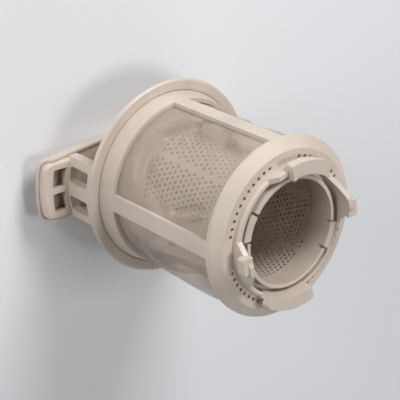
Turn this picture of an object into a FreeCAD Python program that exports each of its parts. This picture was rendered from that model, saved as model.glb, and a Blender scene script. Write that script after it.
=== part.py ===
import FreeCAD
import Part
import Sketcher
import math
import os

# A drain filter of the dishwasher and washer kind: a coarse strainer with a flange and a bridge handle,
# pushed through a ribbed cage that carries a fine mesh sleeve and a quarter-turn bayonet end.
# It stands on the flat middle of its handle's bowed back, with the axis along +Z and the bayonet end on top.
# Lengths are in millimetres and angles in degrees about +Z, from the handle's +X end.

SIZES = {
    # handle
    "handle_span": 109.2,
    "handle_width": 28.2,
    "handle_height": 29.0,
    "handle_corner_round": 5.0,
    "bow_flat": 28.0,
    "bow_slope": 0.2,
    "bow_round": 60.0,
    "cap_depth": 5.6,
    "cap_wall": 1.1,
    "cap_floor": 1.6,
    "cap_gap": 0.15,
    "cap_end_gap": 0.5,
    "cap_edge_round": 2.0,
    "cap_dip_radius": 9.0,
    "cap_end_depth": 1.2,
    "grip_height": 13.0,
    "grip_edge_round": 1.5,
    "grip_wall": 1.6,
    "grip_plate": 2.5,
    "grip_bar": 2.8,
    "grip_window_near": 42.2,
    "grip_window_far": 48.6,
    "grip_window_width": 8.3,
    "grip_window_apart": 2.3,
    "web_radius": 40.9,
    "web_thickness": 4.0,
    "web_width": 27.2,
    "web_foot": 11.0,
    "web_window_low": 13.9,
    "web_window_high": 25.8,
    "web_window_width": 6.8,
    "web_window_apart": 6.1,
    "web_window_round": 1.2,
    # strainer
    "flange_radius": 43.0,
    "flange_thickness": 2.0,
    "flange_edge_round": 0.7,
    "cup_mouth_radius": 31.0,
    "cup_rim_radius": 21.9,
    "cup_wall": 1.5,
    "cup_length": 74.1,
    "locating_ring_height": 3.0,
    "locating_ring_wall": 1.5,
    "locating_fit": 0.3,
    "tab_angle": 28.5,
    "tab_turn": -19.5,
    "slit_width": 1.0,
    "slit_depth": 3.6,
    "snap_lip": 1.7,
    "snap_height": 2.0,
    "hole_diameter": 3.0,
    "hole_row_low": 22.0,
    "hole_row_pitch": 7.6,
    "strip_place_angle": 27.0,
    "strip_width_angle": 7.8,
    # cage
    "cage_bore": 34.6,
    "neck_radius": 38.1,
    "neck_height": 7.2,
    "neck_recess": 0.3,
    "rib_thickness": 1.9,
    "rib_width": 7.6,
    "rib_turn": 0.0,
    "ring_radius": 37.8,
    "ring_back": 66.2,
    "ring_rim": 1.6,
    "ring_face_radius": 33.4,
    "ring_depth": 5.0,
    "face_plate": 2.2,
    "vent_radius": 30.1,
    "vent_diameter": 1.5,
    "vent_pitch_angle": 6.0,
    "vent_turn": 49.5,
    # bayonet end
    "collar_radius": 28.3,
    "collar_wall": 2.2,
    "collar_height": 2.3,
    "collar_edge": 0.8,
    "wing_turn": 13.0,
    "hump_height": 9.2,
    "hump_steep_base": 11.7,
    "hump_long_base": 15.5,
    "hump_top": 2.8,
    "hump_round": 4.0,
    "hump_angle": 120.0,
    "lug_bore": 25.2,
    "lug_radius": 31.0,
    "lug_start": 58.0,
    "lug_angle": 49.0,
    "far_lug_angle": 43.0,
    "lug_height": 7.8,
    "lug_thickness": 4.0,
    "lug_round": 1.5,
    "nose_bore": 24.5,
    "nose_angle": 4.5,
    "nose_thickness": 2.2,
    "lead_height": 5.2,
    "lead_flat": 4.5,
    "lead_base": 10.0,
    "lead_angle": 24.0,
    "block_radius": 30.8,
    "block_start": 1.0,
    "block_angle": 14.0,
    "block_height": 8.6,
    "block_thickness": 3.4,
    "block_round": 1.0,
    # mesh
    "mesh_thickness": 0.4,
    "mesh_fit": 0.05,
    "mesh_end_gap": 0.2,
}

HOLE_ROWS = 6
HOLE_COLUMNS = 20
VENTS_IN_GROUP = 11
RIB_COUNT = 4
WING_COUNT = 2
ROWS = (-1, 1)
ENDS = (0, 1)
OVERCUT = 1.0

# heights of the main faces, as formulas of the sheet's cells
SEAT = "(sizes.handle_height + sizes.flange_thickness)"
FACE = f"({SEAT} + sizes.ring_back + sizes.ring_depth)"
NECK_FOOT = f"({SEAT} - sizes.neck_recess)"
COLLAR_TOP = f"({FACE} + sizes.collar_height)"
LUG_TOP = f"({FACE} + sizes.lug_height)"
WEB_BORE = "(sizes.web_radius - sizes.web_thickness)"
RIB_RADIUS = "(sizes.cage_bore + sizes.rib_thickness)"
COLLAR_BORE = "(sizes.collar_radius - sizes.collar_wall)"

doc = FreeCAD.newDocument("DrainFilter")
sheet = doc.addObject("Spreadsheet::Sheet", "sizes")


def fill_sheet():
    """One row a size: its name and its value, with the name as the cell's alias."""
    for row, (name, value) in enumerate(SIZES.items(), start=1):
        sheet.set(f"A{row}", name)
        sheet.set(f"B{row}", str(value))
        sheet.setAlias(f"B{row}", name)
    doc.recompute()


def bind(thing, formulas):
    """Tie properties of a document object to formulas of the sheet."""
    for prop, formula in formulas.items():
        thing.setExpression(prop, formula)
    return thing


def add(kind, name):
    return doc.addObject(kind, name)


def disc(name, radius, low, high, start=None, span=None):
    """A cylinder about the axis from one height to another, or a wedge of it."""
    solid = add("Part::Cylinder", name)
    bind(solid, {"Radius": radius, "Height": f"({high}) - ({low})", "Placement.Base.z": low})
    if span is not None:
        solid.Placement.Rotation = FreeCAD.Rotation(FreeCAD.Vector(0, 0, 1), 1)
        bind(solid, {"Angle": span, "Placement.Rotation.Angle": start})
    return solid


def block(name, x, y, low, width, depth, high):
    """A box from its corner at x, y and its low height, up to its high height."""
    solid = add("Part::Box", name)
    return bind(solid, {
        "Length": width, "Width": depth, "Height": f"({high}) - ({low})",
        "Placement.Base.x": x, "Placement.Base.y": y, "Placement.Base.z": low,
    })


def cut(name, base, tool):
    solid = add("Part::Cut", name)
    solid.Base = base
    solid.Tool = tool
    return solid


def common(name, first, second):
    solid = add("Part::Common", name)
    solid.Base = first
    solid.Tool = second
    return solid


def join(name, shapes):
    solid = add("Part::MultiFuse", name)
    solid.Shapes = shapes
    solid.Refine = True
    return solid


def sector(name, bore, radius, low, high, start, span):
    """A curved bar: the wedge of a tube between two heights."""
    wedge = disc(f"{name}_wedge", radius, low, high, start, span)
    core = disc(f"{name}_core", bore, f"{low} - {OVERCUT}", f"{high} + {OVERCUT}")
    return cut(name, wedge, core)


def turned(name, profile):
    """A revolved solid from a closed profile of (radius, height) formulas."""
    body = add("PartDesign::Body", f"{name}_body")
    sketch = body.newObject("Sketcher::SketchObject", f"{name}_profile")
    planes = [plane for plane in body.Origin.OriginFeatures if plane.Role == "XZ_Plane"]
    sketch.AttachmentSupport = (planes[0], [""])
    sketch.MapMode = "FlatFace"
    corners = [(sheet_value(radius), sheet_value(height)) for radius, height in profile]
    count = len(corners)
    for here, there in zip(corners, corners[1:] + corners[:1]):
        sketch.addGeometry(Part.LineSegment(FreeCAD.Vector(*here, 0), FreeCAD.Vector(*there, 0)))
    for index in range(count):
        sketch.addConstraint(Sketcher.Constraint("Coincident", index, 2, (index + 1) % count, 1))
    for index, (radius, height) in enumerate(profile):
        for kind, formula, at in (("DistanceX", radius, 0), ("DistanceY", height, 1)):
            place = Sketcher.Constraint(kind, -1, 1, index, 1, corners[index][at])
            number = sketch.addConstraint(place)
            sketch.setExpression(f"Constraints[{number}]", formula)
    turn = body.newObject("PartDesign::Revolution", f"{name}_turn")
    turn.Profile = sketch
    turn.ReferenceAxis = (sketch, ["V_Axis"])
    turn.Angle = 360
    body.Tip = turn
    return body


def sheet_value(formula):
    """The number that a formula of the sheet's cells gives now."""
    return float(sheet.evalExpression(formula))


def edges_where(shape, test):
    """One-based numbers of a shape's edges whose middle passes a test."""
    numbers = []
    for number, edge in enumerate(shape.Edges, start=1):
        middle = edge.valueAt((edge.FirstParameter + edge.LastParameter) / 2)
        if test(edge, middle):
            numbers.append(number)
    return numbers


def rounded(name, base, radius, test):
    """The base with the edges that pass a test rounded."""
    doc.recompute()
    solid = add("Part::Fillet", name)
    solid.Base = base
    solid.Edges = [(number, radius, radius) for number in edges_where(base.Shape, test)]
    return solid


def upright(edge, middle):
    ends = edge.Vertexes
    return len(ends) == 2 and math.hypot(ends[0].X - ends[1].X, ends[0].Y - ends[1].Y) < 1e-6


def bar_outline(name, half_width, end_radius, low, high, corner):
    """The handle's plan form: a strip across the axis whose ends follow a circle about it."""
    strip = block(f"{name}_strip", f"-({end_radius})", f"-({half_width})", low,
                  f"2 * ({end_radius})", f"2 * ({half_width})", high)
    bar = common(f"{name}_bar", strip, disc(f"{name}_round", end_radius, low, high))
    return rounded(name, bar, corner, upright)


def bow(name, lift):
    """The room above the handle's bowed back, or above a copy of it that lies higher."""
    solid = add("Part::Wedge", f"{name}_wedge")
    reach = "sizes.bow_flat / 2 + sizes.handle_height / sizes.bow_slope"
    side = "sizes.handle_width"
    bind(solid, {
        "Xmin": "-sizes.bow_flat / 2", "Xmax": "sizes.bow_flat / 2",
        "X2min": f"-({reach})", "X2max": reach,
        "Ymin": "0", "Ymax": "sizes.handle_height",
        "Zmin": f"-{side}", "Zmax": side, "Z2min": f"-{side}", "Z2max": side,
        "Placement.Base.z": lift,
    })
    solid.Placement.Rotation = FreeCAD.Rotation(FreeCAD.Vector(1, 0, 0), 90)
    doc.recompute()
    crease = solid.Placement.Base.z

    def bends(edge, middle):
        return abs(middle.z - crease) < 1e-6 and abs(middle.x) > 1e-6

    return rounded(name, solid, sheet.bow_round, bends)


def around_back(edge, middle):
    """True for the edges that run round a bowed bar's back, false for the lines across it."""
    start = edge.Vertexes[0]
    runs_along = abs(middle.x - start.X) > 1e-6
    return middle.z < sheet.grip_height - 1e-6 and runs_along and not upright(edge, middle)


def make_handle_cap():
    """The smooth shell that covers the back of the grip; the flat of its bow is what the part stands on."""
    half = "sizes.handle_width / 2"
    end = "sizes.handle_span / 2"
    outline = bar_outline("cap_outline", half, end, "0", "sizes.grip_height", sheet.handle_corner_round)
    bowed = common("cap_bowed", outline, bow("cap_back", "0"))
    smooth = rounded("cap_smooth", bowed, sheet.cap_edge_round, around_back)
    room = bar_outline("cap_room", f"{half} - sizes.cap_wall", f"{end} - sizes.cap_wall", "0",
                       f"sizes.grip_height + {OVERCUT}", sheet.handle_corner_round - sheet.cap_wall)
    inside = common("cap_inside", room, bow("cap_inner_back", "sizes.cap_floor"))
    dips = []
    for side in ENDS:
        dip = add("Part::Cylinder", f"cap_dip_{side}")
        rim = f"(({end} - sizes.bow_flat / 2) * sizes.bow_slope + sizes.cap_end_depth)"
        bind(dip, {
            "Radius": "sizes.cap_dip_radius",
            "Height": f"sizes.handle_width + 2 * {OVERCUT}",
            "Placement.Base.x": f"{1 - 2 * side} * ({end})",
            "Placement.Base.y": f"sizes.handle_width / 2 + {OVERCUT}",
            "Placement.Base.z": f"{rim} + sizes.cap_dip_radius",
        })
        dip.Placement.Rotation = FreeCAD.Rotation(FreeCAD.Vector(1, 0, 0), 90)
        dips.append(dip)
    return cut("handle_cap", smooth, join("cap_open", [inside, bow("cap_edge", "sizes.cap_depth")] + dips))


def make_web(side):
    """A curved wall with two windows that carries one end of the grip from the back of the flange."""
    out = 1 - 2 * side
    top = "sizes.handle_height + sizes.flange_thickness / 2"
    near = f"({out - 1} / 2 * sizes.handle_span / 2)"
    slab = block(f"web_slab_{side}", near, "-sizes.web_width / 2", "sizes.web_foot",
                 "sizes.handle_span / 2", "sizes.web_width", top)
    skin = disc(f"web_skin_{side}", "sizes.web_radius", "sizes.web_foot", top)
    core = disc(f"web_core_{side}", WEB_BORE, f"sizes.web_foot - {OVERCUT}", f"{top} + {OVERCUT}")
    wall = cut(f"web_wall_{side}", common(f"web_arc_{side}", slab, skin), core)
    windows = []
    for row in ROWS:
        middle = f"{row} * (sizes.web_window_apart + sizes.web_window_width) / 2"
        window = block(f"web_window_{side}_{row + 1}", near, f"{middle} - sizes.web_window_width / 2",
                       "sizes.web_window_low", "sizes.handle_span / 2", "sizes.web_window_width",
                       "sizes.web_window_high")
        windows.append(rounded(f"web_gap_{side}_{row + 1}", window, sheet.web_window_round, along_handle))
    return cut(f"web_{side}", wall, join(f"web_gaps_{side}", windows))


def along_handle(edge, middle):
    ends = edge.Vertexes
    return abs(ends[0].X - ends[1].X) > 1e-6


def make_grip():
    """The strainer's half of the handle: a bowed bar, a hollow box with two windows at each end, two webs."""
    half = "(sizes.handle_width / 2 - sizes.cap_wall - sizes.cap_gap)"
    end = "(sizes.handle_span / 2 - sizes.cap_wall - sizes.cap_end_gap)"
    corner = sheet.handle_corner_round - sheet.cap_wall - sheet.cap_gap
    outline = bar_outline("grip_outline", half, end, "0", "sizes.grip_height", corner)
    bowed = common("grip_bowed", outline, bow("grip_back", "sizes.cap_floor"))

    def on_top(edge, middle):
        return abs(middle.z - sheet.grip_height) < 1e-6

    smooth = rounded("grip_smooth", bowed, sheet.grip_edge_round, on_top)
    finger_room = common("finger_room", disc("finger_disc", WEB_BORE, "0", f"sizes.grip_height + {OVERCUT}"),
                         bow("finger_bow", "sizes.cap_floor + sizes.grip_bar"))
    pockets = cut("grip_pockets",
                  bar_outline("grip_inside", f"{half} - sizes.grip_wall", f"{end} - sizes.grip_wall", "0",
                              "sizes.grip_height - sizes.grip_plate", corner - sheet.grip_wall),
                  disc("pocket_core", "sizes.web_radius", f"-{OVERCUT}", f"sizes.grip_height + {OVERCUT}"))
    low = "sizes.grip_height - 2 * sizes.grip_plate"
    high = f"sizes.grip_height + {OVERCUT}"
    strips = []
    for side in ENDS:
        near = f"({-side} * sizes.handle_span / 2)"
        for row in ROWS:
            middle = f"{row} * (sizes.grip_window_apart + sizes.grip_window_width) / 2"
            strips.append(block(f"grip_strip_{side}_{row + 1}", near,
                                f"{middle} - sizes.grip_window_width / 2", low,
                                "sizes.handle_span / 2", "sizes.grip_window_width", high))
    band = cut("grip_window_band", disc("grip_window_disc", "sizes.grip_window_far", low, high),
               disc("grip_window_core", "sizes.grip_window_near", f"{low} - {OVERCUT}",
                    f"{high} + {OVERCUT}"))
    windows = common("grip_windows", join("grip_strips", strips), band)
    bar = cut("grip", smooth, join("grip_room", [finger_room, pockets, windows]))
    return [bar] + [make_web(side) for side in ENDS]


def make_strainer():
    """One moulding: the tapered cup with its holes and snap tabs, the flange, the webs and the grip."""
    ring_radius = "(sizes.cage_bore - sizes.locating_fit)"
    ring_bore = f"({ring_radius} - sizes.locating_ring_wall)"
    ring_top = f"({SEAT} + sizes.locating_ring_height)"
    rim = f"({SEAT} + sizes.cup_length)"
    taper = "((sizes.cup_mouth_radius - sizes.cup_rim_radius) / sizes.cup_length)"
    shell = turned("strainer_shell", [
        ("sizes.cup_mouth_radius + " + taper + " * sizes.flange_thickness", "sizes.handle_height"),
        ("sizes.flange_radius - sizes.flange_edge_round", "sizes.handle_height"),
        ("sizes.flange_radius", "sizes.handle_height + sizes.flange_edge_round"),
        ("sizes.flange_radius", f"{SEAT} - sizes.flange_edge_round"),
        ("sizes.flange_radius - sizes.flange_edge_round", SEAT),
        (ring_radius, SEAT),
        (ring_radius, ring_top),
        (ring_bore, ring_top),
        (ring_bore, SEAT),
        ("sizes.cup_mouth_radius + sizes.cup_wall", SEAT),
        ("sizes.cup_rim_radius + sizes.cup_wall", rim),
        ("sizes.cup_rim_radius", rim),
    ])
    neck_seat = cut("neck_seat", disc("neck_seat_disc", "sizes.neck_radius + sizes.locating_fit", NECK_FOOT,
                                      f"{SEAT} + {OVERCUT}"),
                    disc("neck_seat_core", ring_radius, f"{NECK_FOOT} - {OVERCUT}",
                         f"{ring_top} + {OVERCUT}"))
    gaps = [neck_seat] + make_holes()
    lips = []
    for side in ENDS:
        middle = f"sizes.tab_turn + {180 * side}"
        lips.append(sector(f"snap_lip_{side}", "sizes.cup_rim_radius + sizes.cup_wall / 2",
                           "sizes.cup_rim_radius + sizes.cup_wall + sizes.snap_lip",
                           f"{rim} - sizes.snap_height", rim,
                           f"{middle} - sizes.tab_angle / 2", "sizes.tab_angle"))
        for edge in (-1, 1):
            slit = block(f"slit_{side}_{edge + 1}", "0", "-sizes.slit_width / 2", f"{rim} - sizes.slit_depth",
                         "sizes.cup_mouth_radius", "sizes.slit_width", f"{rim} + {OVERCUT}")
            turn = f"{middle} + {edge} * sizes.tab_angle / 2"
            slit.Placement.Rotation = FreeCAD.Rotation(FreeCAD.Vector(0, 0, 1), 1)
            bind(slit, {
                "Placement.Rotation.Angle": turn,
                "Placement.Base.x": f"sin({turn}) * sizes.slit_width / 2",
                "Placement.Base.y": f"-cos({turn}) * sizes.slit_width / 2",
            })
            gaps.append(slit)
    cup = cut("cup", join("lipped_shell", [shell] + lips), join("cup_gaps", gaps))
    return join("strainer", [cup] + make_grip())


def make_holes():
    """Staggered rows of radial drills through the cup, clear of the plain strips beside the snap tabs."""
    inside = "(sizes.cup_rim_radius - sizes.hole_diameter)"
    reach = math.degrees(math.asin(sheet.hole_diameter / 2 / sheet.cup_rim_radius))
    clear = sheet.strip_width_angle / 2 + reach
    strips = [side * sheet.strip_place_angle + half for side in (-1, 1) for half in (0, 180)]
    pitch = 360 / HOLE_COLUMNS
    drills = []
    for row in range(HOLE_ROWS):
        for column in range(HOLE_COLUMNS):
            turn = pitch * (column + row % 2 / 2)
            if any(abs((turn - strip + 180) % 360 - 180) < clear for strip in strips):
                continue
            place = f"(sizes.tab_turn + {turn})"
            drill = add("Part::Cylinder", f"hole_{row}_{column}")
            bind(drill, {
                "Radius": "sizes.hole_diameter / 2",
                "Height": "sizes.cup_mouth_radius",
                "Placement.Base.x": f"{inside} * cos({place})",
                "Placement.Base.y": f"{inside} * sin({place})",
                "Placement.Base.z": f"{SEAT} + sizes.hole_row_low + {row} * sizes.hole_row_pitch",
            })
            lie = FreeCAD.Rotation(FreeCAD.Vector(0, 1, 0), 90)
            drill.Placement.Rotation = about_axis(sheet.tab_turn + turn).multiply(lie)
            drills.append(drill)
    return drills


def about_axis(angle):
    return FreeCAD.Rotation(FreeCAD.Vector(0, 0, 1), angle)


def ridge(name, turn, near_base, far_base, near_top, far_top, height):
    """A standing prism on the ring's face, out from the axis, whose sides slope from base to top."""
    solid = add("Part::Wedge", name)
    reach = "sizes.lug_radius"
    bind(solid, {
        "Xmin": f"-({near_base})", "Xmax": far_base, "X2min": f"-({near_top})", "X2max": far_top,
        "Ymin": "0", "Ymax": height,
        "Zmin": "0", "Zmax": reach, "Z2min": "0", "Z2max": reach,
        "Placement.Base.z": FACE,
    })
    stand = FreeCAD.Rotation(FreeCAD.Vector(1, 0, 0), 90)
    solid.Placement.Rotation = about_axis(turn + 90).multiply(stand)
    return solid


def make_wing(side):
    """One bayonet wing on the collar: a hump with an outward block, and a thick lug."""
    turn = 180 * side
    root = f"({FACE} - sizes.face_plate / 2)"
    hump_top = f"({FACE} + sizes.hump_height)"
    wall = sector(f"hump_wall_{side}", COLLAR_BORE, "sizes.collar_radius", root, hump_top,
                  f"sizes.wing_turn + {turn} - sizes.hump_angle / 2", "sizes.hump_angle")
    roof = ridge(f"hump_roof_{side}", sheet.wing_turn + turn, "sizes.hump_steep_base", "sizes.hump_long_base",
                 "sizes.hump_top", "sizes.hump_top", "sizes.hump_height")
    crest = sheet_value(hump_top)

    def on_shoulder(edge, middle):
        ends = edge.Vertexes
        across = abs(math.hypot(ends[0].X, ends[0].Y) - math.hypot(ends[1].X, ends[1].Y))
        return abs(middle.z - crest) < 1e-6 and across > sheet.lug_radius / 2

    hump = common(f"hump_{side}", wall, rounded(f"hump_soft_{side}", roof, sheet.hump_round, on_shoulder))

    def outer_corner(radius):
        return lambda edge, middle: upright(edge, middle) and math.hypot(middle.x, middle.y) > radius - 1e-6

    lug_angle = "sizes.far_lug_angle" if side else "sizes.lug_angle"
    lug_start = f"sizes.lug_start + {turn}"
    lug_end = f"{lug_start} + {lug_angle}"
    lug_wall = sector(f"lug_wall_{side}", "sizes.lug_bore", "sizes.collar_radius", root, LUG_TOP,
                      lug_start, lug_angle)
    lug_bar = sector(f"lug_bar_{side}", "sizes.lug_bore", "sizes.lug_radius",
                     f"{LUG_TOP} - sizes.lug_thickness", LUG_TOP, lug_start, lug_angle)
    lug = rounded(f"lug_{side}", lug_bar, sheet.lug_round, outer_corner(sheet.lug_radius))
    block_top = f"({FACE} + sizes.block_height)"
    catch_bar = sector(f"catch_bar_{side}", COLLAR_BORE, "sizes.block_radius",
                       f"{block_top} - sizes.block_thickness", block_top,
                       f"sizes.block_start + {turn}", "sizes.block_angle")
    catch = rounded(f"catch_{side}", catch_bar, sheet.block_round, outer_corner(sheet.block_radius))
    return [hump, lug_wall, lug, catch]


def make_lead_in():
    """The far lug's leading end: a nose towards the cup and a sloped wall on the collar."""
    lug_end = "sizes.lug_start + 180 + sizes.far_lug_angle"
    nose = sector("nose", "sizes.nose_bore", "sizes.collar_radius",
                  f"{LUG_TOP} - sizes.nose_thickness", LUG_TOP,
                  f"{lug_end} - sizes.nose_angle", "sizes.nose_angle")
    wall = sector("lead_wall", COLLAR_BORE, "sizes.collar_radius", f"{FACE} - sizes.face_plate / 2",
                  f"{FACE} + sizes.lead_height", lug_end, "sizes.lead_angle")
    roof = ridge("lead_roof", sheet_value(lug_end), "sizes.lead_flat", "sizes.lead_base",
                 "sizes.lead_flat", "sizes.lead_flat", "sizes.lead_height")
    return [nose, common("lead", wall, roof)]


def make_cage():
    """One moulding: neck, four ribs, end ring with its rows of vents, collar and bayonet wings."""
    ring_low = f"({SEAT} + sizes.ring_back)"
    shell = turned("cage_shell", [
        ("sizes.cage_bore", NECK_FOOT),
        ("sizes.neck_radius", NECK_FOOT),
        (RIB_RADIUS, f"{SEAT} + sizes.neck_height"),
        (RIB_RADIUS, ring_low),
        ("sizes.ring_radius", ring_low),
        ("sizes.ring_radius", f"{ring_low} + sizes.ring_rim"),
        ("sizes.ring_face_radius", FACE),
        ("sizes.collar_radius", FACE),
        ("sizes.collar_radius", f"{COLLAR_TOP} - sizes.collar_edge"),
        ("sizes.collar_radius - sizes.collar_edge", COLLAR_TOP),
        (COLLAR_BORE, COLLAR_TOP),
        (COLLAR_BORE, f"{FACE} - sizes.face_plate"),
        ("sizes.cage_bore", f"{FACE} - sizes.face_plate"),
    ])
    rib_angle = f"(sizes.rib_width / {RIB_RADIUS} * 180 / pi)"
    pitch = 360 / RIB_COUNT
    windows = []
    for index in range(RIB_COUNT):
        windows.append(disc(f"window_{index}", "sizes.flange_radius", f"{SEAT} + sizes.neck_height",
                            ring_low, f"sizes.rib_turn + {index * pitch} + {rib_angle} / 2",
                            f"{pitch} - {rib_angle}"))
    frame = cut("ribbed_shell", shell, join("windows", windows))
    wings = make_lead_in()
    for side in range(WING_COUNT):
        wings += make_wing(side)
    winged = join("winged_cage", [frame] + wings)
    drills = []
    for group in range(RIB_COUNT):
        for number in range(VENTS_IN_GROUP):
            place = f"({group * pitch} + sizes.vent_turn"
            place += f" + {number - (VENTS_IN_GROUP - 1) / 2} * sizes.vent_pitch_angle)"
            drill = disc(f"drill_{group}_{number}", "sizes.vent_diameter / 2",
                         f"{FACE} - sizes.face_plate - {OVERCUT}", f"{FACE} + {OVERCUT}")
            bind(drill, {
                "Placement.Base.x": f"sizes.vent_radius * cos({place})",
                "Placement.Base.y": f"sizes.vent_radius * sin({place})",
            })
            drills.append(drill)
    return cut("cage", winged, join("drills", drills))


def make_mesh_sleeve():
    """The fine mesh as a thin tube inside the ribs, from the locating ring to the face plate."""
    radius = "(sizes.cage_bore - sizes.mesh_fit)"
    low = f"({SEAT} + sizes.locating_ring_height + sizes.mesh_end_gap)"
    high = f"({FACE} - sizes.face_plate - sizes.mesh_end_gap)"
    return cut("mesh_sleeve", disc("mesh_outside", radius, low, high),
               disc("mesh_inside", f"{radius} - sizes.mesh_thickness", f"{low} - {OVERCUT}",
                    f"{high} + {OVERCUT}"))


def check_and_write(parts):
    """Stop on any failed feature or bad solid, then write one STEP file a sub-part."""
    doc.recompute()
    for thing in doc.Objects:
        if "Invalid" in thing.State or "Error" in thing.State:
            raise RuntimeError(f"{thing.Name} failed: {thing.State}")
    os.makedirs("parts", exist_ok=True)
    for part in parts:
        if part.Shape.isNull() or not part.Shape.isValid():
            raise RuntimeError(f"{part.Label} has no valid shape")
        print(part.Label, len(part.Shape.Solids), "solid, volume", round(part.Shape.Volume))
        part.Shape.exportStep(f"parts/{part.Label}.step")


fill_sheet()
check_and_write([make_handle_cap(), make_strainer(), make_cage(), make_mesh_sleeve()])
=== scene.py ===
import math

import bmesh
import bpy
from bpy.props import FloatProperty, FloatVectorProperty, IntProperty, PointerProperty
from mathutils import Matrix, Vector, noise


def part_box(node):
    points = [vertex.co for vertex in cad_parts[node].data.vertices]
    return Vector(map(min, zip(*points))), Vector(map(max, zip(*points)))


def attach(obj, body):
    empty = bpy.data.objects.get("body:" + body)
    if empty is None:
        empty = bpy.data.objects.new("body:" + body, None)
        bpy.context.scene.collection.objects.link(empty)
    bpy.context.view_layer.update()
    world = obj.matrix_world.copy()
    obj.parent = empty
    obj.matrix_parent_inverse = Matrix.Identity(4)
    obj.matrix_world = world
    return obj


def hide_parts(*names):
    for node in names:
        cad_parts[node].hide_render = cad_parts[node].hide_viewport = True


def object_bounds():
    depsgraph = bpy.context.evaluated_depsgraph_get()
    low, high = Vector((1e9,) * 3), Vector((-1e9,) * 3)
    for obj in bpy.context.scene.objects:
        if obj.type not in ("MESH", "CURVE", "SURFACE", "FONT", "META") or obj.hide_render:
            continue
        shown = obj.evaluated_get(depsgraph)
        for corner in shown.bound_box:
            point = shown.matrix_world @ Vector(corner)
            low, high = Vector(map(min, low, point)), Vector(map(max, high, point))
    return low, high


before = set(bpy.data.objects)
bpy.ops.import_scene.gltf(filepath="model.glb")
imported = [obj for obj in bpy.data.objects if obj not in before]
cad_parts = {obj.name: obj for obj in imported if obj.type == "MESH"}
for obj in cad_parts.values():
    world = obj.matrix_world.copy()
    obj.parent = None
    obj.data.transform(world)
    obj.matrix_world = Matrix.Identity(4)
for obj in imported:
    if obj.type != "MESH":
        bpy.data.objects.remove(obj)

bl_info = {
    "name": "Drain filter looks",
    "version": (1, 0, 0),
    "blender": (4, 5, 0),
    "location": "View3D > Sidebar > Filter",
    "description": "Dresses a drain filter: perforated cup, woven mesh, moulded plastic and a plain studio",
    "category": "Object",
}

CAD_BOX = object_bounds()
MM = 0.001
TURN = 2 * math.pi
MESH_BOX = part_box("mesh_sleeve")
RIB_COUNT = 4

# Border steps along one side of a wall cell, where its first corner lies as a share of a turn,
# and the strip that joins the laid-out wall to the moulding.
SIDE_STEPS = 4
FIRST_CORNER = -3 / 8
SEAM = 0.25 * MM
# Points this close are welded, on the moulding and between the wall's cells. Edges this close to a height
# count as lying at it.
CAD_WELD = 0.001 * MM
CELL_WELD = 0.01 * MM
SAME_HEIGHT = 0.005 * MM
# Edges over this angle stay sharp.
SHARP_ANGLE = math.radians(28)

# Gap that the mesh keeps to the cup.
CLEAR = 0.5 * MM
# Share of the sag in each window from the +X rib on, negative where the mesh bellies out.
WINDOW_SAG = (-0.95, 0.45, 0.6, 1.0)
# Windows whose folds stand as listed. In the others they are upside down.
UPRIGHT_WINDOWS = (0, 3)
# Where the mesh comes free: from a window's middle out to its ribs, from the neck up, from the ring down.
HANG_TURN = (math.radians(20), math.radians(40))
HANG_NECK = (9 * MM, 25 * MM)
HANG_RING = (1 * MM, 17 * MM)
# Where the folds end: towards the ribs, and towards the neck and the ring.
FOLD_TURN = (math.radians(36), math.radians(41))
FOLD_ENDS = (3 * MM, 8 * MM)
# How fast the broad unevenness changes round the sleeve, and over which height.
DRIFT_ROUND = 2.2
DRIFT_RISE = 26 * MM
# Folds of the mesh in one window: a line of (degrees from the window's middle, mm over the flange face),
# how far in it lies (mm, negative is out) and its half width (mm).
FOLDS = (
    (((-14.0, 22.5), (-9.3, 20.5), (-0.5, 17.5), (8.2, 17.0), (18.7, 18.0)), 2.0, 2.8),
    (((-16.0, 15.5), (-26.0, 19.0), (-36.0, 24.5)), -2.2, 1.5),
    (((-15.0, 18.8), (-23.5, 22.8), (-32.0, 27.5)), 2.2, 2.0),
    (((-35.0, 27.6), (-40.0, 30.0)), 2.4, 1.7),
    (((-30.5, 33.5), (-27.0, 35.5)), -2.4, 3.6),
    (((-33.0, 42.0), (-26.0, 45.0)), 1.9, 3.2),
    (((-32.0, 53.0), (-29.0, 55.5)), -2.4, 3.6),
    (((-33.0, 62.0), (-22.0, 61.5)), 0.9, 2.6),
    (((36.0, 44.0), (27.0, 57.0)), -1.9, 1.5),
    (((33.0, 42.5), (24.0, 54.5)), 1.6, 1.7),
    (((26.0, 27.0), (35.0, 34.0)), 1.0, 2.6),
)

# Mould grain: noise scales of pits and waviness, height of the waviness against the pits, and its bump.
PIT_SCALE = 2600.0
WAVE_SCALE = 90.0
WAVE_HEIGHT = 1.6
GRAIN_STRENGTH = 0.25
GRAIN_HEIGHT = 0.06 * MM
# Rounded look of the moulded edges.
EDGE_RADIUS = 0.35 * MM
EDGE_SAMPLES = 6
# Used tone: the broad noise, the span of it that counts, how far it darkens, the share of that by which it
# brightens, and the colour that the group starts with.
TONE_SCALE = 38.0
TONE_DETAIL = 4.0
TONE_RANGE = (0.3, 0.7)
TONE_DRIFT = 0.12
BRIGHT_SHARE = 0.5
TONE_COLOUR = (0.6, 0.5, 0.42, 1)
# Stains: the noise, where it starts and is full, how strong, its colour, and how it spreads the roughness.
STAIN_SCALE = 210.0
STAIN_DETAIL = 6.0
STAIN_RANGE = (0.58, 0.75)
STAIN_MOST = 0.22
STAIN_COLOUR = (0.42, 0.33, 0.26, 1)
ROUGHNESS_SPREAD = 0.3
# Satin plastic: its sheen, and how far light goes into it.
PLASTIC_ROUGHNESS = 0.42
PLASTIC_IOR = 1.5
GLOW_WEIGHT = 0.08
GLOW_RADIUS = (1.0, 0.7, 0.5)
GLOW_DEPTH = 1.2 * MM
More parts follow.
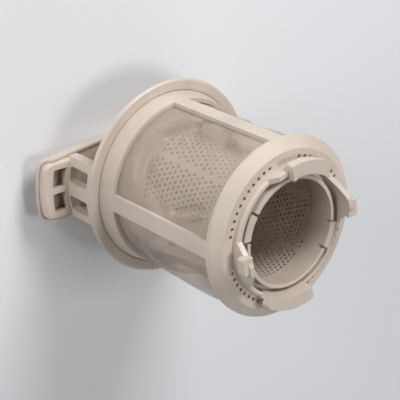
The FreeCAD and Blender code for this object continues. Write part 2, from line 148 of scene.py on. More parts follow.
# Weave: where a thread's edge fades, how free the mesh hangs where the painted shade in its gaps ends, the
# height of the crossings against the threads, the bump and the sheen.
THREAD_EDGE = (-0.05, 0.1)
GAP_SHADE_END = 0.8
CROSS_HEIGHT = 0.4
WEAVE_STRENGTH = 0.12
WEAVE_HEIGHT = 0.1 * MM
THREAD_ROUGHNESS = 0.34
THREAD_SPECULAR = 0.65

# Stage, with lengths in metres: the floor, the colour of the even light, and for each lamp its place from
# the point that the camera looks at and its size.
FLOOR_SIZE = 8.0
FLOOR_ROUGHNESS = 0.8
FLOOR_SPECULAR = 0.2
SKY_COLOUR = (0.95, 0.97, 1.0, 1.0)
LAMPS = {
    "key": ((-0.2, -0.82, 0.52), 0.4),
    "side": ((0.8, -0.4, 0.14), 0.35),
    "top": ((-0.05, -0.1, 0.95), 0.3),
    "back": ((-0.35, 0.85, 0.4), 0.6),
}
# Width of the camera's sensor, in mm.
SENSOR_WIDTH = 36.0

# Colour sockets of the Mix node.
MIX_FIRST, MIX_SECOND, MIX_RESULT = 6, 7, 2


class CupSizes(bpy.types.PropertyGroup):
    """The tapered cup and the pattern of holes in its wall."""

    seat: FloatProperty(name="Seat height", default=31 * MM, unit="LENGTH",
                        description="Height of the flange face that the cup starts from")
    mouth_radius: FloatProperty(name="Mouth radius", default=31 * MM, unit="LENGTH",
                                description="Inner radius of the cup at the flange face")
    rim_radius: FloatProperty(name="Rim radius", default=21.9 * MM, unit="LENGTH",
                              description="Inner radius of the cup at its rim")
    length: FloatProperty(name="Length", default=74.1 * MM, unit="LENGTH",
                          description="From the flange face to the rim")
    wall: FloatProperty(name="Wall", default=1.5 * MM, unit="LENGTH", description="Wall thickness")
    columns: IntProperty(name="Columns", default=72, description="Hole positions in one row round the cup")
    rows: IntProperty(name="Rows", default=26, description="Rows of the wall that is laid out anew")
    row_pitch: FloatProperty(name="Row pitch", default=2.22 * MM, unit="LENGTH",
                             description="Distance of two rows along the axis")
    wall_top: FloatProperty(name="Pattern top", default=62.7 * MM, unit="LENGTH",
                            description="Upper end of the laid-out wall, over the flange face")
    first_angle: FloatProperty(name="First column", default=math.radians(2.2), subtype="ANGLE",
                               description="Direction of the first column of the top row")
    hole_rows: IntProperty(name="Rows with holes", default=20, description="Rows with holes, from the top")
    hole_radius: FloatProperty(name="Hole radius", default=0.66 * MM, unit="LENGTH",
                               description="Radius of one hole")
    tab_angle: FloatProperty(name="Tab direction", default=math.radians(-19.5), subtype="ANGLE",
                             description="Direction of the snap tab's middle")
    strip_angle: FloatProperty(name="Strip offset", default=math.radians(27), subtype="ANGLE",
                               description="Plain strips lie this far to each side of a snap tab")
    strip_half: FloatProperty(name="Strip half width", default=math.radians(3.0), subtype="ANGLE",
                              description="Half of a plain strip's width, as an angle")
    tab_half: FloatProperty(name="Tab half width", default=math.radians(17), subtype="ANGLE",
                            description="Under a snap tab, this far to each side, the top rows stay plain")
    tab_rows: IntProperty(name="Plain rows at a tab", default=2, description="Plain rows under a snap tab")

    def taper(self):
        """How much the cup's radius shrinks over each unit of its length."""
        return (self.mouth_radius - self.rim_radius) / self.length


class ClothSizes(bpy.types.PropertyGroup):
    """The fine mesh behind the ribs."""

    columns: IntProperty(name="Columns", default=360, description="Divisions round the sleeve")
    rows: IntProperty(name="Rows", default=110, description="Divisions along the sleeve")
    thread_pitch: FloatProperty(name="Thread pitch", default=0.68 * MM, unit="LENGTH",
                                description="Distance of two threads")
    thread_width: FloatProperty(name="Thread width", default=0.32, min=0.1, max=1.0,
                                description="Thread width as a share of the pitch")
    # Share of each gap filled with dark painted shade along the mesh's edges.
    gap_shade_cover: FloatProperty(name="Gap shade cover", default=0.55, min=0.0, max=1.0,
                            description="How far lint closes the mesh along its edges")
    sag: FloatProperty(name="Sag", default=2.6 * MM, unit="LENGTH",
                       description="How far the slack mesh falls in between the ribs")
    drift: FloatProperty(name="Drift", default=0.9 * MM, unit="LENGTH",
                         description="Broad unevenness of the slack mesh")


class Finish(bpy.types.PropertyGroup):
    """Colours of the plastic, the mesh with the painted shade in its gaps, and the floor."""

    plastic: FloatVectorProperty(name="Plastic", subtype="COLOR", size=4, default=(0.62, 0.53, 0.457, 1.0),
                                 description="Warm beige grey of the mouldings")
    thread: FloatVectorProperty(name="Thread", subtype="COLOR", size=4, default=(0.53, 0.43, 0.352, 1.0),
                                description="Beige of the mesh threads")
    # Dark brown put in the gaps between threads: painted shade of the space behind the mesh.
    painted_gap_shade: FloatVectorProperty(name="Painted gap shade", subtype="COLOR", size=4, default=(0.37, 0.297, 0.243, 1.0),
                              description="Dull brown of the lint between the threads")
    floor: FloatVectorProperty(name="Floor", subtype="COLOR", size=4, default=(0.80, 0.81, 0.83, 1.0),
                               description="Pale floor")


class Studio(bpy.types.PropertyGroup):
    """Camera and light."""

    azimuth: FloatProperty(name="Azimuth", default=math.radians(56.2), subtype="ANGLE",
                           description="Camera direction about the axis, from the -Y side towards +X")
    elevation: FloatProperty(name="Elevation", default=math.radians(43.83), subtype="ANGLE",
                             description="Camera height as an angle over the floor")
    roll: FloatProperty(name="Roll", default=math.radians(-115.13), subtype="ANGLE",
                        description="Turn of the picture about the line of sight")
    distance: FloatProperty(name="Distance", default=540 * MM, unit="LENGTH",
                            description="From the camera to the point it looks at")
    aim: FloatVectorProperty(name="Aim", default=(3.9 * MM, 2.05 * MM, 54.83 * MM), subtype="TRANSLATION",
                             description="Point that the camera looks at")
    lens: FloatProperty(name="Lens", default=117.0, description="Focal length on a 36 mm sensor, in mm")
    key_power: FloatProperty(name="Key", default=7.3, unit="POWER",
                             description="Power of the key lamp")
    side_power: FloatProperty(name="Side", default=3.4, unit="POWER",
                              description="Power of the low side lamp")
    top_power: FloatProperty(name="Top", default=2.7, unit="POWER",
                             description="Power of the lamp overhead")
    back_power: FloatProperty(name="Back", default=1.8, unit="POWER",
                              description="Power of the lamp behind")
    sky: FloatProperty(name="Sky", default=0.1, description="Strength of the even light from all round")


def new_object(name, mesh):
    """A linked object that shows a mesh."""
    thing = bpy.data.objects.new(name, mesh)
    bpy.context.collection.objects.link(thing)
    return thing


class Nodes:
    """Shorthand for building one node tree."""

    def __init__(self, tree):
        self.tree = tree

    def add(self, kind, **values):
        """A new node with the given properties set."""
        node = self.tree.nodes.new(kind)
        for name, value in values.items():
            setattr(node, name, value)
        return node

    def link(self, source, target):
        self.tree.links.new(source, target)

    def put(self, socket, value):
        """Feeds a socket with another socket or with a plain value."""
        if isinstance(value, bpy.types.NodeSocket):
            self.link(value, socket)
        else:
            socket.default_value = value

    def math(self, operation, first, second=0.0, third=None):
        node = self.add("ShaderNodeMath", operation=operation)
        self.put(node.inputs[0], first)
        self.put(node.inputs[1], second)
        if third is not None:
            self.put(node.inputs[2], third)
        return node.outputs[0]

    def compare(self, operation, first, second):
        node = self.add("FunctionNodeCompare", data_type="FLOAT", operation=operation)
        self.put(node.inputs[0], first)
        self.put(node.inputs[1], second)
        return node.outputs[0]

    def both(self, first, second, operation="AND"):
        """Joins two truth values."""
        node = self.add("FunctionNodeBooleanMath", operation=operation)
        self.link(first, node.inputs[0])
        self.link(second, node.inputs[1])
        return node.outputs[0]

    def spread(self, value, span, low=0.0, high=1.0):
        """Maps a span of values to run from low to high."""
        node = self.add("ShaderNodeMapRange")
        self.put(node.inputs["Value"], value)
        self.put(node.inputs["From Min"], span[0])
        self.put(node.inputs["From Max"], span[1])
        self.put(node.inputs["To Min"], low)
        self.put(node.inputs["To Max"], high)
        return node.outputs[0]

    def mix_colour(self, factor, first, second):
        node = self.add("ShaderNodeMix", data_type="RGBA")
        self.put(node.inputs["Factor"], factor)
        self.put(node.inputs[MIX_FIRST], first)
        self.put(node.inputs[MIX_SECOND], second)
        return node.outputs[MIX_RESULT]


# materials


def shader_group(name, inputs, outputs):
    """An empty shader node group with named sockets: its nodes, its input node and its output node."""
    tree = bpy.data.node_groups.new(name, "ShaderNodeTree")
    for label, kind, value in inputs:
        socket = tree.interface.new_socket(label, in_out="INPUT", socket_type=kind)
        socket.default_value = value
    for label, kind in outputs:
        tree.interface.new_socket(label, in_out="OUTPUT", socket_type=kind)
    nodes = Nodes(tree)
    return nodes, nodes.add("NodeGroupInput"), nodes.add("NodeGroupOutput")


def grain_group():
    """Fine texture of a moulded face: tiny pits over a soft waviness, as a height."""
    nodes, given, out = shader_group(
        "Mould Grain",
        [("Vector", "NodeSocketVector", (0, 0, 0)), ("Pit Scale", "NodeSocketFloat", PIT_SCALE),
         ("Wave Scale", "NodeSocketFloat", WAVE_SCALE)],
        [("Height", "NodeSocketFloat")])
    pits = nodes.add("ShaderNodeTexNoise")
    wave = nodes.add("ShaderNodeTexNoise")
    for texture, scale in ((pits, "Pit Scale"), (wave, "Wave Scale")):
        nodes.link(given.outputs["Vector"], texture.inputs["Vector"])
        nodes.link(given.outputs[scale], texture.inputs["Scale"])
    soft = nodes.math("MULTIPLY", wave.outputs[0], WAVE_HEIGHT)
    nodes.link(nodes.math("ADD", pits.outputs[0], soft), out.inputs["Height"])
    return nodes.tree


def tone_group():
    """Uneven tone of used plastic: broad drift and faint stains, which also spread the roughness."""
    nodes, given, out = shader_group(
        "Used Tone",
        [("Vector", "NodeSocketVector", (0, 0, 0)), ("Colour", "NodeSocketColor", TONE_COLOUR),
         ("Drift", "NodeSocketFloat", TONE_DRIFT), ("Base Roughness", "NodeSocketFloat", PLASTIC_ROUGHNESS)],
        [("Colour", "NodeSocketColor"), ("Roughness", "NodeSocketFloat")])
    drift = nodes.add("ShaderNodeTexNoise")
    stain = nodes.add("ShaderNodeTexNoise")
    for texture, scale, detail in ((drift, TONE_SCALE, TONE_DETAIL), (stain, STAIN_SCALE, STAIN_DETAIL)):
        texture.inputs["Scale"].default_value = scale
        texture.inputs["Detail"].default_value = detail
        nodes.link(given.outputs["Vector"], texture.inputs["Vector"])
    low = nodes.math("SUBTRACT", 1.0, given.outputs["Drift"])
    high = nodes.math("ADD", 1.0, nodes.math("MULTIPLY", given.outputs["Drift"], BRIGHT_SHARE))
    shade = nodes.spread(drift.outputs[0], TONE_RANGE, low, high)
    toned = nodes.add("ShaderNodeVectorMath", operation="SCALE")
    nodes.link(given.outputs["Colour"], toned.inputs[0])
    nodes.link(shade, toned.inputs["Scale"])
    spots = nodes.spread(stain.outputs[0], STAIN_RANGE, high=STAIN_MOST)
    nodes.link(nodes.mix_colour(spots, toned.outputs[0], STAIN_COLOUR), out.inputs["Colour"])
    rough = nodes.math("MULTIPLY", nodes.math("SUBTRACT", stain.outputs[0], 0.5), ROUGHNESS_SPREAD)
    nodes.link(nodes.math("ADD", rough, given.outputs["Base Roughness"]), out.inputs["Roughness"])
    return nodes.tree


def group_named(name, maker):
    """The node group of that name, made on first use."""
    return bpy.data.node_groups.get(name) or maker()


def new_material(name):
    """A material with its nodes and its shader."""
    material = bpy.data.materials.new(name)
    material.use_nodes = True
    nodes = Nodes(material.node_tree)
    return material, nodes, material.node_tree.nodes["Principled BSDF"]


def used_tone(nodes, place, colour, roughness):
    """Adds the shared tone group for one colour and roughness."""
    tone = nodes.add("ShaderNodeGroup", node_tree=group_named("Used Tone", tone_group))
    nodes.link(place, tone.inputs["Vector"])
    tone.inputs["Colour"].default_value = colour
    tone.inputs["Base Roughness"].default_value = roughness
    return tone.outputs


def moulded_plastic(name, colour):
    """Satin moulded plastic with faint grain, drift of tone and light stains."""
    material, nodes, shader = new_material(name)
    place = nodes.add("ShaderNodeTexCoord").outputs["Object"]
    tone = used_tone(nodes, place, colour, PLASTIC_ROUGHNESS)
    nodes.link(tone["Colour"], shader.inputs["Base Color"])
    nodes.link(tone["Roughness"], shader.inputs["Roughness"])
    grain = nodes.add("ShaderNodeGroup", node_tree=group_named("Mould Grain", grain_group))
    nodes.link(place, grain.inputs["Vector"])
    bump = nodes.add("ShaderNodeBump")
    bump.inputs["Strength"].default_value = GRAIN_STRENGTH
    bump.inputs["Distance"].default_value = GRAIN_HEIGHT
    nodes.link(grain.outputs["Height"], bump.inputs["Height"])
    edge = nodes.add("ShaderNodeBevel", samples=EDGE_SAMPLES)
    edge.inputs["Radius"].default_value = EDGE_RADIUS
    nodes.link(edge.outputs[0], bump.inputs["Normal"])
    nodes.link(bump.outputs[0], shader.inputs["Normal"])
    shader.inputs["IOR"].default_value = PLASTIC_IOR
    shader.inputs["Subsurface Weight"].default_value = GLOW_WEIGHT
    shader.inputs["Subsurface Radius"].default_value = GLOW_RADIUS
    shader.inputs["Subsurface Scale"].default_value = GLOW_DEPTH
    return material


def woven_mesh(name, finish, cloth):
    """Fine plain weave on the cloth's own map, whose gaps are filled towards the edges with a dark brown:
    painted shade of the space behind the mesh.
    """
    material, nodes, shader = new_material(name)
    where = nodes.add("ShaderNodeSeparateXYZ")
    nodes.link(nodes.add("ShaderNodeUVMap", uv_map="weave").outputs[0], where.inputs[0])
    along = nodes.math("DIVIDE", where.outputs[0], cloth.thread_pitch)
    up = nodes.math("DIVIDE", where.outputs[1], cloth.thread_pitch)
    threads = []
    for count in (along, up):
        across = nodes.math("ABSOLUTE", nodes.math("SUBTRACT", nodes.math("FRACT", count), 0.5))
        threads.append(nodes.math("SUBTRACT", 1.0, nodes.math("DIVIDE", across, cloth.thread_width / 2)))
    crest = nodes.math("MAXIMUM", threads[0], threads[1])
    cover = nodes.spread(crest, THREAD_EDGE)
    hang = nodes.add("ShaderNodeAttribute", attribute_name="open_share").outputs["Fac"]
    # Towards the edges, where the mesh stands off the cup, the gaps between threads are filled with a dark
    # brown: painted shade of the space behind the mesh.
    painted_gap_shade = nodes.spread(hang, (0.0, GAP_SHADE_END), cloth.gap_shade_cover, 0.0)
    nodes.link(nodes.math("MAXIMUM", cover, painted_gap_shade), shader.inputs["Alpha"])
    checks = nodes.math("MULTIPLY", nodes.math("SINE", nodes.math("MULTIPLY", along, math.pi)),
                        nodes.math("SINE", nodes.math("MULTIPLY", up, math.pi)))
    bump = nodes.add("ShaderNodeBump")
    bump.inputs["Strength"].default_value = WEAVE_STRENGTH
    bump.inputs["Distance"].default_value = WEAVE_HEIGHT
    nodes.link(nodes.math("ADD", crest, nodes.math("MULTIPLY", checks, CROSS_HEIGHT)), bump.inputs["Height"])
    nodes.link(bump.outputs[0], shader.inputs["Normal"])
    place = nodes.add("ShaderNodeTexCoord").outputs["Object"]
    tone = used_tone(nodes, place, finish.thread, THREAD_ROUGHNESS)
    # Between the threads the colour is the dark painted shade.
    nodes.link(nodes.mix_colour(cover, finish.painted_gap_shade, tone["Colour"]), shader.inputs["Base Color"])
    nodes.link(tone["Roughness"], shader.inputs["Roughness"])
    shader.inputs["Specular IOR Level"].default_value = THREAD_SPECULAR
    return material


def plain_floor(name, colour):
    """Pale matt studio floor."""
    material, _, shader = new_material(name)
    shader.inputs["Base Color"].default_value = colour
    shader.inputs["Roughness"].default_value = FLOOR_ROUGHNESS
    shader.inputs["Specular IOR Level"].default_value = FLOOR_SPECULAR
    return material


# pieces


def cell_tile(name, hole):
    """One cell of the cup's wall, one unit wide and high, inner face at 0 and outer face at 1.

    hole holds the radii of the round hole along the cell's two directions, or None for a plain cell.
    """
    build = bmesh.new()
    side = [step / SIDE_STEPS - 0.5 for step in range(SIDE_STEPS)]
    border = [(s, -0.5) for s in side] + [(0.5, s) for s in side]
    border += [(-s, 0.5) for s in side] + [(-0.5, -s) for s in side]
    count = len(border)
    faces = {}
    for level in (0, 1):
        faces[level] = [build.verts.new((u, v, level)) for u, v in border]
    if hole is None:
        build.faces.new(faces[1])
        build.faces.new(reversed(faces[0]))
    else:
        rings = {}
        for level in (0, 1):
            rings[level] = []
            for step in range(count):
                angle = TURN * (step / count + FIRST_CORNER)
                spot = (hole[0] * math.cos(angle), hole[1] * math.sin(angle), level)
                rings[level].append(build.verts.new(spot))
        for step in range(count):
            after = (step + 1) % count
            build.faces.new((faces[1][step], faces[1][after], rings[1][after], rings[1][step]))
            build.faces.new((faces[0][after], faces[0][step], rings[0][step], rings[0][after]))
            build.faces.new((rings[1][step], rings[1][after], rings[0][after], rings[0][step]))
    mesh = bpy.data.meshes.new(name)
    build.to_mesh(mesh)
    build.free()
    return new_object(name, mesh)


def wall_tree(material):
    """Geometry Nodes that lay hole cells and plain cells in staggered rows and wrap them round the cup."""
    tree = bpy.data.node_groups.new("Perforated Wall", "GeometryNodeTree")
    tree.is_modifier = True
    sockets = [
        ("Hole Cell", "NodeSocketObject"), ("Plain Cell", "NodeSocketObject"),
        ("Columns", "NodeSocketInt"), ("Rows", "NodeSocketInt"), ("Hole Rows", "NodeSocketInt"),
        ("First Angle", "NodeSocketFloat"), ("Column Angle", "NodeSocketFloat"),
        ("Row Pitch", "NodeSocketFloat"), ("Top", "NodeSocketFloat"),
        ("Top Radius", "NodeSocketFloat"), ("Taper", "NodeSocketFloat"), ("Wall", "NodeSocketFloat"),
        ("Tab Angle", "NodeSocketFloat"), ("Strip Angle", "NodeSocketFloat"),
        ("Strip Half", "NodeSocketFloat"), ("Tab Half", "NodeSocketFloat"), ("Tab Rows", "NodeSocketInt"),
    ]
    for label, kind in sockets:
        tree.interface.new_socket(label, in_out="INPUT", socket_type=kind)
    tree.interface.new_socket("Geometry", in_out="OUTPUT", socket_type="NodeSocketGeometry")
    nodes = Nodes(tree)
    given = nodes.add("NodeGroupInput").outputs

    # one point for each cell, laid flat
    points = nodes.add("GeometryNodePoints")
    nodes.link(nodes.math("MULTIPLY", given["Columns"], given["Rows"]), points.inputs["Count"])
    index = nodes.add("GeometryNodeInputIndex").outputs[0]
    row = nodes.math("FLOOR", nodes.math("DIVIDE", nodes.math("ADD", index, 0.5), given["Columns"]))
    column = nodes.math("SUBTRACT", index, nodes.math("MULTIPLY", row, given["Columns"]))
    stagger = nodes.math("MULTIPLY", nodes.math("MODULO", row, 2.0), 0.5)
    along = nodes.math("ADD", column, stagger)
    cell = nodes.add("ShaderNodeCombineXYZ")
    nodes.link(along, cell.inputs[0])
    nodes.link(nodes.math("SUBTRACT", -0.5, row), cell.inputs[1])
    laid = nodes.add("GeometryNodeSetPosition")
    nodes.link(points.outputs[0], laid.inputs["Geometry"])
    nodes.link(cell.outputs[0], laid.inputs["Position"])

    # plain cells in the strips, under the snap tabs and below the last row of holes
    angle = nodes.math("ADD", given["First Angle"], nodes.math("MULTIPLY", along, given["Column Angle"]))
    from_tab = nodes.math("SUBTRACT", angle, given["Tab Angle"])
    off = nodes.math("ABSOLUTE", nodes.math("WRAP", from_tab, math.pi / 2, -math.pi / 2))
    from_strip = nodes.math("ABSOLUTE", nodes.math("SUBTRACT", off, given["Strip Angle"]))
    in_strip = nodes.compare("LESS_THAN", from_strip, given["Strip Half"])
    at_tab = nodes.both(nodes.compare("LESS_THAN", off, given["Tab Half"]),
                        nodes.compare("LESS_THAN", row, given["Tab Rows"]))
    below = nodes.compare("GREATER_EQUAL", row, given["Hole Rows"])
    plain = nodes.both(nodes.both(in_strip, at_tab, "OR"), below, "OR")
    drilled = nodes.add("FunctionNodeBooleanMath", operation="NOT")
    nodes.link(plain, drilled.inputs[0])
    joined = nodes.add("GeometryNodeJoinGeometry")
    for label, chosen in (("Hole Cell", drilled.outputs[0]), ("Plain Cell", plain)):
        source = nodes.add("GeometryNodeObjectInfo")
        nodes.link(given[label], source.inputs["Object"])
        spread = nodes.add("GeometryNodeInstanceOnPoints")
        nodes.link(laid.outputs[0], spread.inputs["Points"])
        nodes.link(chosen, spread.inputs["Selection"])
        nodes.link(source.outputs["Geometry"], spread.inputs["Instance"])
        nodes.link(spread.outputs[0], joined.inputs[0])
    real = nodes.add("GeometryNodeRealizeInstances")
    nodes.link(joined.outputs[0], real.inputs[0])

    # the flat cells wrapped round the tapered cup
    flat = nodes.add("ShaderNodeSeparateXYZ")
    nodes.link(nodes.add("GeometryNodeInputPosition").outputs[0], flat.inputs[0])
    turn = nodes.math("ADD", given["First Angle"],
                      nodes.math("MULTIPLY", flat.outputs[0], given["Column Angle"]))
    drop = nodes.math("MULTIPLY", flat.outputs[1], given["Row Pitch"])
    inner = nodes.math("SUBTRACT", given["Top Radius"], nodes.math("MULTIPLY", drop, given["Taper"]))
    radius = nodes.math("ADD", inner, nodes.math("MULTIPLY", flat.outputs[2], given["Wall"]))
    place = nodes.add("ShaderNodeCombineXYZ")
    nodes.link(nodes.math("MULTIPLY", radius, nodes.math("COSINE", turn)), place.inputs[0])
    nodes.link(nodes.math("MULTIPLY", radius, nodes.math("SINE", turn)), place.inputs[1])
    nodes.link(nodes.math("ADD", given["Top"], drop), place.inputs[2])
    wrapped = nodes.add("GeometryNodeSetPosition")
    nodes.link(real.outputs[0], wrapped.inputs["Geometry"])
    nodes.link(place.outputs[0], wrapped.inputs["Position"])
    welded = nodes.add("GeometryNodeMergeByDistance")
    welded.inputs["Distance"].default_value = CELL_WELD
    nodes.link(wrapped.outputs[0], welded.inputs["Geometry"])
    painted = nodes.add("GeometryNodeSetMaterial")
    painted.inputs["Material"].default_value = material
    nodes.link(welded.outputs[0], painted.inputs["Geometry"])
    nodes.link(painted.outputs[0], nodes.add("NodeGroupOutput").inputs[0])
    return tree


def perforated_wall(cup, material):
    """The cup's wall with its fields of round holes, as a plain mesh."""
    pitch_angle = TURN / cup.columns
    taper = cup.taper()
    top_radius = cup.mouth_radius - taper * cup.wall_top
    middle_radius = top_radius + taper * cup.row_pitch * cup.hole_rows / 2
    hole = (cup.hole_radius / (pitch_angle * middle_radius), cup.hole_radius / cup.row_pitch)
    values = {
        "Hole Cell": cell_tile("hole_cell", hole), "Plain Cell": cell_tile("plain_cell", None),
        "Columns": cup.columns, "Rows": cup.rows, "Hole Rows": cup.hole_rows,
        "First Angle": cup.first_angle, "Column Angle": pitch_angle, "Row Pitch": cup.row_pitch,
        "Top": cup.seat + cup.wall_top, "Top Radius": top_radius, "Taper": taper, "Wall": cup.wall,
        "Tab Angle": cup.tab_angle, "Strip Angle": cup.strip_angle, "Strip Half": cup.strip_half,
        "Tab Half": cup.tab_half, "Tab Rows": cup.tab_rows,
    }
    carrier = new_object("wall_layout", bpy.data.meshes.new("wall_layout"))
    layout = carrier.modifiers.new("wall", "NODES")
    layout.node_group = wall_tree(material)
    for item in layout.node_group.interface.items_tree:
        if item.in_out == "INPUT":
            layout[item.identifier] = values[item.name]
    shaped = carrier.evaluated_get(bpy.context.evaluated_depsgraph_get())
    wall = bpy.data.meshes.new_from_object(shaped)
    for thing in (carrier, values["Hole Cell"], values["Plain Cell"]):
        bpy.data.objects.remove(thing)
    return wall


def loop_edges(build, height, radius):
    """The open edges of a mesh at one height, split into the loops inside and outside a radius."""
    inside, outside = [], []
    for edge in build.edges:
        middle = (edge.verts[0].co + edge.verts[1].co) / 2
        if edge.is_boundary and abs(middle.z - height) < SAME_HEIGHT:
            (inside if middle.xy.length < radius else outside).append(edge)
    return inside, outside


def shade_by_angle(mesh):
    """Smooth shading that keeps sharp edges, instead of normals kept from before the edit."""
    kept = mesh.attributes.get("custom_normal")
    if kept:
        mesh.attributes.remove(kept)
    mesh.polygons.foreach_set("use_smooth", [True] * len(mesh.polygons))
    mesh.set_sharp_from_angle(angle=SHARP_ANGLE)


class FILTER_OT_strainer(bpy.types.Operator):
    """Makes the strainer with its perforated cup"""

    bl_idname = "filter.strainer"
    bl_label = "Make the perforated strainer"

    def execute(self, context):
        cup = context.scene.filter_cup
        material = moulded_plastic("strainer_plastic", context.scene.filter_finish.plastic)
        high = cup.seat + cup.wall_top
        low = high - cup.rows * cup.row_pitch
        build = bmesh.new()
        build.from_mesh(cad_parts["strainer"].data)
        bmesh.ops.remove_doubles(build, verts=build.verts, dist=CAD_WELD)
        for height in (high + SEAM, low - SEAM):
            everything = build.verts[:] + build.edges[:] + build.faces[:]
            bmesh.ops.bisect_plane(build, geom=everything, plane_co=(0, 0, height), plane_no=(0, 0, 1))
        band = [face for face in build.faces if low < face.calc_center_median().z < high]
        bmesh.ops.delete(build, geom=band, context="FACES")
        build.from_mesh(perforated_wall(cup, material))
        for face in build.faces:
            face.material_index = 0
        for height, side in ((high, 1), (low, -1)):
            middle = cup.mouth_radius - cup.taper() * (height - cup.seat) + cup.wall / 2
            cad = loop_edges(build, height + side * SEAM, middle)
            own = loop_edges(build, height, middle)
            for part in (0, 1):
                bmesh.ops.bridge_loops(build, edges=cad[part] + own[part])
        bmesh.ops.recalc_face_normals(build, faces=build.faces)
        mesh = bpy.data.meshes.new("perforated_strainer")
        build.to_mesh(mesh)
        build.free()
        shade_by_angle(mesh)
        mesh.materials.append(material)
        strainer = new_object("perforated_strainer", mesh)
        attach(strainer, "strainer_body")
        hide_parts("strainer")
        return {"FINISHED"}


class FILTER_OT_mouldings(bpy.types.Operator):
    """Gives the cage and the handle's cap their moulded plastic"""

    bl_idname = "filter.mouldings"
    bl_label = "Finish the mouldings"

    def execute(self, context):
        plastic = context.scene.filter_finish.plastic
        for node in ("cage", "handle_cap"):
            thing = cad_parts[node]
            thing.data.materials.clear()
            thing.data.materials.append(moulded_plastic(f"{node}_plastic", plastic))
        return {"FINISHED"}


def ease(value, low, high):
    """0 below the low value, 1 above the high one, and smooth between."""
    share = min(max((value - low) / (high - low), 0.0), 1.0)
    return share * share * (3 - 2 * share)


def from_line(spot, line):
    """Distance of a flat point to a line of points."""
    nearest = math.inf
    for start, end in zip(line, line[1:]):
        span = end - start
        share = min(max((spot - start).dot(span) / span.length_squared, 0.0), 1.0)
        nearest = min(nearest, (spot - start - span * share).length)
    return nearest


def fold_lines(radius):
    """The folds with their lines laid flat, in metres along the sleeve and over the flange face."""
    flat = []
    for line, depth, width in FOLDS:
        spots = [Vector((math.radians(turn) * radius, rise * MM)) for turn, rise in line]
        flat.append((spots, depth * MM, width * MM))
    return flat


def slack(cup, cloth, folds, angle, rise, length, radius):
    """How far the mesh falls in at a point, and how free it hangs there from 0 at its edges to 1.

    The windows share one set of folds, turned about so that no two neighbours look the same.
    """
    pitch = TURN / RIB_COUNT
    window = math.floor(angle / pitch)
    from_middle = angle - (window + 0.5) * pitch
    turn = abs(from_middle)
    hang = (1 - ease(turn, *HANG_TURN)) * ease(rise, *HANG_NECK) * ease(length - rise, *HANG_RING)
    loose = (1 - ease(turn, *FOLD_TURN)) * ease(rise, *FOLD_ENDS) * ease(length - rise, *FOLD_ENDS)
    mirror = 1 if window % 2 else -1
    place = Vector((from_middle * radius * mirror, rise if window in UPRIGHT_WINDOWS else length - rise))
    wave = Vector((DRIFT_ROUND * math.cos(angle), DRIFT_ROUND * math.sin(angle), rise / DRIFT_RISE))
    depth = (cloth.sag * WINDOW_SAG[window] + cloth.drift * noise.noise(wave)) * hang
    for line, lie, width in folds:
        depth += lie * math.exp(-(from_line(place, line) / width) ** 2) * loose
    belly = min(0.0, WINDOW_SAG[window]) * cloth.sag * hang
    room = radius - CLEAR - cup.wall - cup.mouth_radius + cup.taper() * rise
    return min(max(belly, depth), room), hang


class FILTER_OT_mesh(bpy.types.Operator):
    """Makes the woven mesh sleeve behind the ribs"""

    bl_idname = "filter.mesh"
    bl_label = "Make the woven mesh"

    def execute(self, context):
        cup = context.scene.filter_cup
        cloth = context.scene.filter_cloth
        radius = MESH_BOX[1].x
        low, high = MESH_BOX[0].z, MESH_BOX[1].z
        build = bmesh.new()
        weave = build.loops.layers.uv.new("weave")
        open_share = build.verts.layers.float.new("open_share")
        folds = fold_lines(radius)
        rings = []
        for row in range(cloth.rows + 1):
            height = low + (high - low) * row / cloth.rows
            ring = []
            for column in range(cloth.columns):
                angle = TURN * column / cloth.columns
                depth, hang = slack(cup, cloth, folds, angle, height - cup.seat, high - cup.seat, radius)
                reach = radius - depth
                spot = build.verts.new((reach * math.cos(angle), reach * math.sin(angle), height))
                spot[open_share] = hang
                ring.append(spot)
            rings.append(ring)
        for row in range(cloth.rows):
            for column in range(cloth.columns):
                after = (column + 1) % cloth.columns
                face = build.faces.new((rings[row][column], rings[row][after],
                                        rings[row + 1][after], rings[row + 1][column]))
                face.smooth = True
                places = ((column, row), (column + 1, row), (column + 1, row + 1), (column, row + 1))
                for loop, (u, v) in zip(face.loops, places):
                    loop[weave].uv = (TURN * radius * u / cloth.columns, (high - low) * v / cloth.rows)
        mesh = bpy.data.meshes.new("woven_mesh")
        build.to_mesh(mesh)
        build.free()
        sleeve = new_object("woven_mesh", mesh)
        mesh.materials.append(woven_mesh("mesh_cloth", context.scene.filter_finish, cloth))
        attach(sleeve, "micro_filter")
        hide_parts("mesh_sleeve")
        return {"FINISHED"}


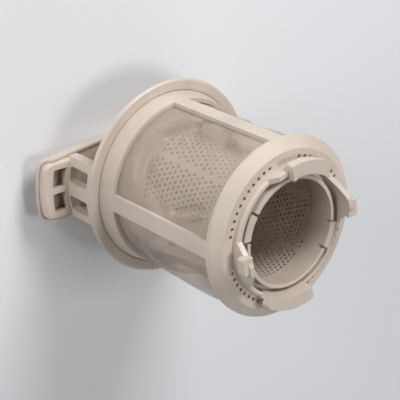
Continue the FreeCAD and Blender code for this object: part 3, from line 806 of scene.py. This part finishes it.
class FILTER_OT_stage(bpy.types.Operator):
    """Sets the floor, the lamps, the even light and the camera"""

    bl_idname = "filter.stage"
    bl_label = "Set the stage"

    def execute(self, context):
        scene = context.scene
        studio = scene.filter_studio
        scene.view_settings.view_transform = "Standard"
        bpy.ops.mesh.primitive_plane_add(size=FLOOR_SIZE, location=(0, 0, CAD_BOX[0].z))
        floor = context.object
        floor.name = "floor"
        floor.data.materials.append(plain_floor("pale_floor", scene.filter_finish.floor))
        world = bpy.data.worlds.new("even_light")
        scene.world = world
        world.use_nodes = True
        sky = world.node_tree.nodes["Background"]
        sky.inputs["Color"].default_value = SKY_COLOUR
        sky.inputs["Strength"].default_value = studio.sky
        for name, (offset, size) in LAMPS.items():
            lamp = bpy.data.lights.new(name, "AREA")
            lamp.size = size
            lamp.energy = getattr(studio, f"{name}_power")
            light = bpy.data.objects.new(name, lamp)
            light.location = Vector(studio.aim) + Vector(offset)
            light.rotation_euler = Vector(offset).to_track_quat("Z", "Y").to_euler()
            context.collection.objects.link(light)
        scene.camera = self.camera(studio)
        context.collection.objects.link(scene.camera)
        return {"FINISHED"}

    def camera(self, studio):
        """The camera at the photograph's angle, with its roll about the line of sight."""
        flat = math.cos(studio.elevation)
        back = Vector((math.sin(studio.azimuth) * flat, -math.cos(studio.azimuth) * flat,
                       math.sin(studio.elevation)))
        right = Vector((0, 0, 1)).cross(back).normalized()
        upright = back.cross(right)
        up = upright * math.cos(studio.roll) + right * math.sin(studio.roll)
        side = up.cross(back)
        lens = bpy.data.cameras.new("camera")
        lens.lens = studio.lens
        lens.sensor_width = SENSOR_WIDTH
        camera = bpy.data.objects.new("camera", lens)
        turn = Matrix((side, up, back)).transposed().to_4x4()
        camera.matrix_world = Matrix.Translation(Vector(studio.aim) + back * studio.distance) @ turn
        return camera


class FILTER_PT_panel(bpy.types.Panel):
    """Lists the steps that dress the filter"""

    bl_label = "Drain filter"
    bl_idname = "FILTER_PT_panel"
    bl_space_type = "VIEW_3D"
    bl_region_type = "UI"
    bl_category = "Filter"

    def draw(self, context):
        for step in STEPS:
            self.layout.operator(step.bl_idname)


GROUPS = {
    "filter_cup": CupSizes,
    "filter_cloth": ClothSizes,
    "filter_finish": Finish,
    "filter_studio": Studio,
}
STEPS = (FILTER_OT_strainer, FILTER_OT_mouldings, FILTER_OT_mesh, FILTER_OT_stage)
CLASSES = tuple(GROUPS.values()) + STEPS + (FILTER_PT_panel,)


def register():
    for kind in CLASSES:
        bpy.utils.register_class(kind)
    for name, group in GROUPS.items():
        setattr(bpy.types.Scene, name, PointerProperty(type=group))


def unregister():
    for name in GROUPS:
        delattr(bpy.types.Scene, name)
    for kind in reversed(CLASSES):
        bpy.utils.unregister_class(kind)


def main():
    register()
    for step in STEPS:
        family, verb = step.bl_idname.split(".")
        getattr(getattr(bpy.ops, family), verb)()


if __name__ == "__main__":
    main()
